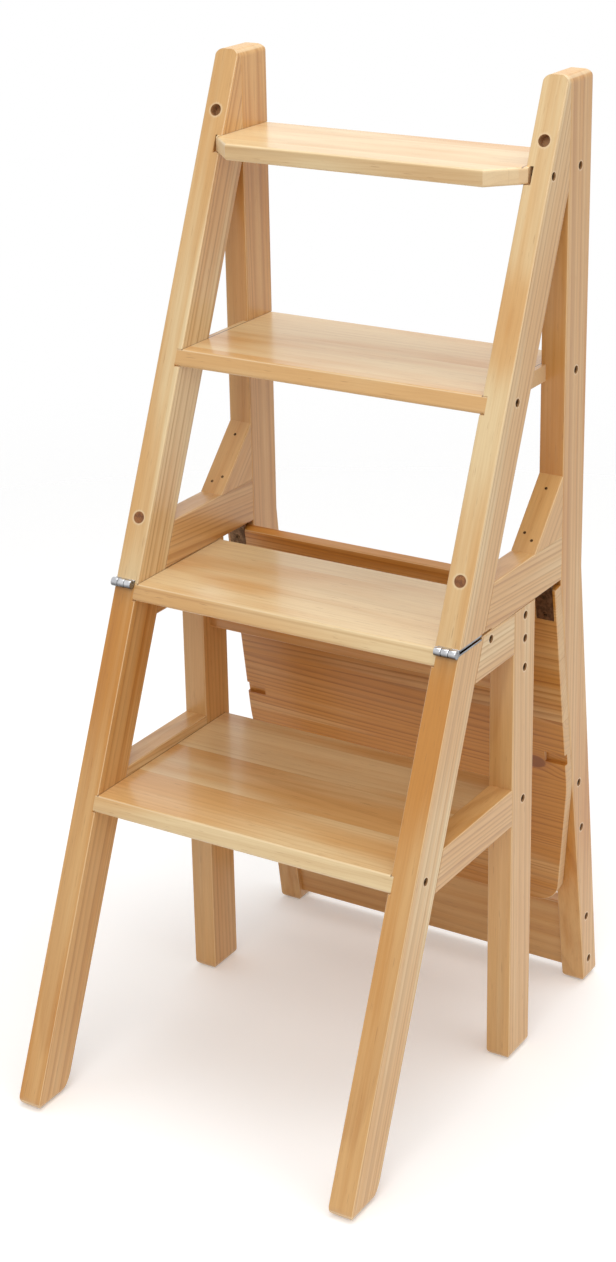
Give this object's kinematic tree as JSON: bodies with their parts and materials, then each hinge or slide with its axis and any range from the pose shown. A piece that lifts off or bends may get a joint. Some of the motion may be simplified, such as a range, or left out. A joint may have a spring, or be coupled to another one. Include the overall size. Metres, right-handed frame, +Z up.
{
  "type": "folding step stool chair",
  "caption": "Wooden step ladder whose upper half tips forward on two hinges to make a chair, with a hinged seat board that lies over the fold.",
  "frame": {"origin": "on the floor, under the middle of the whole ladder's width and depth", "axes": "+X to the right as one faces the steps, +Y from the steps' front to the rear, +Z up"},
  "size_m": [0.352, 0.475, 0.9],
  "materials": {
    "pine": "clear satin lacquer over pine",
    "plug_wood": "end grain, clear lacquer",
    "chromed_steel": "polished",
    "hinge_steel": "dull zinc plate",
    "fastener_steel": "dark zinc plate"
  },
  "bodies": {
    "lower_frame": {"front_leg_left": "pine", "front_leg_right": "pine", "rear_leg_left": "pine", "rear_leg_right": "pine", "lower_top_rail_left": "pine", "lower_top_rail_right": "pine", "lower_bottom_rail_left": "pine", "lower_bottom_rail_right": "pine", "hinge_level_step": "pine", "lower_step": "pine", "rear_apron": "pine", "lower_frame_screws": "fastener_steel", "lower_frame_dowels": "plug_wood", "lower_leaf_screws": "fastener_steel", "front_hinge_lower_leaf_left": "chromed_steel", "front_hinge_lower_leaf_right": "chromed_steel", "front_hinge_pin_left": "chromed_steel", "front_hinge_pin_right": "chromed_steel"},
    "upper_frame": {"front_post_left": "pine", "front_post_right": "pine", "long_post_left": "pine", "long_post_right": "pine", "upper_rail_left": "pine", "upper_rail_right": "pine", "gusset_left": "pine", "gusset_right": "pine", "middle_step": "pine", "top_step": "pine", "high_slat": "pine", "low_slat": "pine", "upper_frame_screws": "fastener_steel", "post_screws": "fastener_steel", "post_plugs": "plug_wood", "upper_frame_dowels": "plug_wood", "gusset_nails": "fastener_steel", "upper_leaf_screws": "fastener_steel", "rail_leaf_screws": "fastener_steel", "front_hinge_upper_leaf_left": "chromed_steel", "front_hinge_upper_leaf_right": "chromed_steel", "seat_hinge_rail_leaf_left": "hinge_steel", "seat_hinge_rail_leaf_right": "hinge_steel", "seat_hinge_pin_left": "hinge_steel", "seat_hinge_pin_right": "hinge_steel"},
    "seat": {"seat_board": "pine", "board_leaf_screws": "fastener_steel", "seat_hinge_board_leaf_left": "hinge_steel", "seat_hinge_board_leaf_right": "hinge_steel"}
  },
  "joints": [
    {"name": "fold", "type": "hinge", "parent": "lower_frame", "child": "upper_frame", "pos_m": [0, -0.05674, 0.45], "axis": [1, 0, 0], "range_deg": [0, 180]},
    {"name": "seat_swing", "type": "hinge", "parent": "upper_frame", "child": "seat", "pos_m": [0, 0.12917, 0.4478], "axis": [1, 0, 0], "range_deg": [-98.98, 0]}
  ],
  "couplings": [
    {"joint": "seat_swing", "follows": "fold", "ratio": -0.54987}
  ]
}
